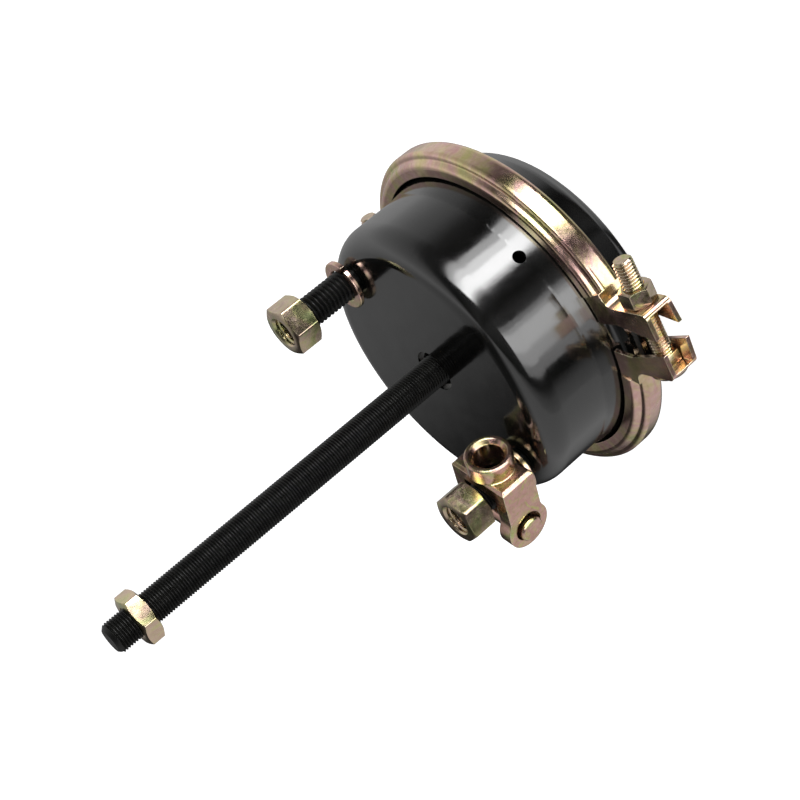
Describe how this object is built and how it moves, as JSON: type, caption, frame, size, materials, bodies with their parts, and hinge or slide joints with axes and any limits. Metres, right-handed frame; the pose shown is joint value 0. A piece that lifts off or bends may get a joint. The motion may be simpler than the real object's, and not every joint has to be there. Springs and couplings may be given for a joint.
{
  "type": "air brake chamber",
  "caption": "Round air brake actuator with a clamped diaphragm housing, threaded push rod, mounting studs with nuts and a clevis with its pin.",
  "frame": {"origin": "centre of the mounting face, on the push rod's axis", "axes": "+Z along the push rod towards its tip, +X towards the first mounting stud"},
  "size_m": [0.188, 0.2119, 0.2862],
  "materials": {
    "black_paint": "gloss",
    "zinc_plate": "yellow zinc plate",
    "dark_steel": "black oxide",
    "grey_steel": "satin",
    "rubber": "matte"
  },
  "bodies": {
    "chamber": {"front_housing": "black_paint", "back_cover": "black_paint", "diaphragm": "rubber", "clamp_band_upper": "zinc_plate", "clamp_band_lower": "zinc_plate", "clamp_bolt_1": "zinc_plate", "clamp_bolt_2": "zinc_plate", "clamp_nut_1": "zinc_plate", "clamp_nut_2": "zinc_plate", "stud_plate": "grey_steel", "mounting_stud_1": "dark_steel", "mounting_stud_2": "dark_steel", "air_port_1": "black_paint", "air_port_2": "black_paint", "port_plug": "dark_steel", "return_spring": "grey_steel"},
    "rod": {"push_rod": "dark_steel", "push_plate": "grey_steel"},
    "jam_nut": {"rod_jam_nut": "zinc_plate"},
    "nut_1": {"stud_nut_1": "zinc_plate"},
    "nut_2": {"stud_nut_2": "zinc_plate"},
    "washer_1": {"lock_washer_1": "zinc_plate"},
    "washer_2": {"lock_washer_2": "zinc_plate"},
    "fork": {"clevis": "zinc_plate"},
    "fork_pin": {"clevis_pin": "zinc_plate"}
  },
  "joints": [
    {"name": "rod_stroke", "type": "slide", "parent": "chamber", "child": "rod", "axis": [0, 0, 1], "range_m": [0, 0.0572], "stiffness_N_per_m": 2000, "springref_m": -0.055, "deforming": ["return_spring", "diaphragm"]},
    {"name": "rod_jam_nut_spin", "type": "hinge", "parent": "rod", "child": "jam_nut", "pos_m": [0, 0, 0.1825], "axis": [0, 0, 1], "continuous": true},
    {"name": "stud_nut_1_spin", "type": "hinge", "parent": "chamber", "child": "nut_1", "pos_m": [0.06032, 0, 0.03655], "axis": [0, 0, 1], "continuous": true},
    {"name": "stud_nut_2_spin", "type": "hinge", "parent": "chamber", "child": "nut_2", "pos_m": [-0.06032, 0, 0.03655], "axis": [0, 0, 1], "continuous": true},
    {"name": "lock_washer_1_slide", "type": "slide", "parent": "chamber", "child": "washer_1", "axis": [0, 0, 1], "range_m": [-0.0018, 0.0232]},
    {"name": "lock_washer_2_slide", "type": "slide", "parent": "chamber", "child": "washer_2", "axis": [0, 0, 1], "range_m": [-0.0018, 0]},
    {"name": "clevis_swing", "type": "hinge", "parent": "chamber", "child": "fork", "pos_m": [-0.06032, 0, 0.0173], "axis": [0, 0, 1], "continuous": true},
    {"name": "clevis_pin_pull", "type": "slide", "parent": "fork", "child": "fork_pin", "axis": [0.8387, 0.5446, 0], "range_m": [0, 0.04]}
  ]
}
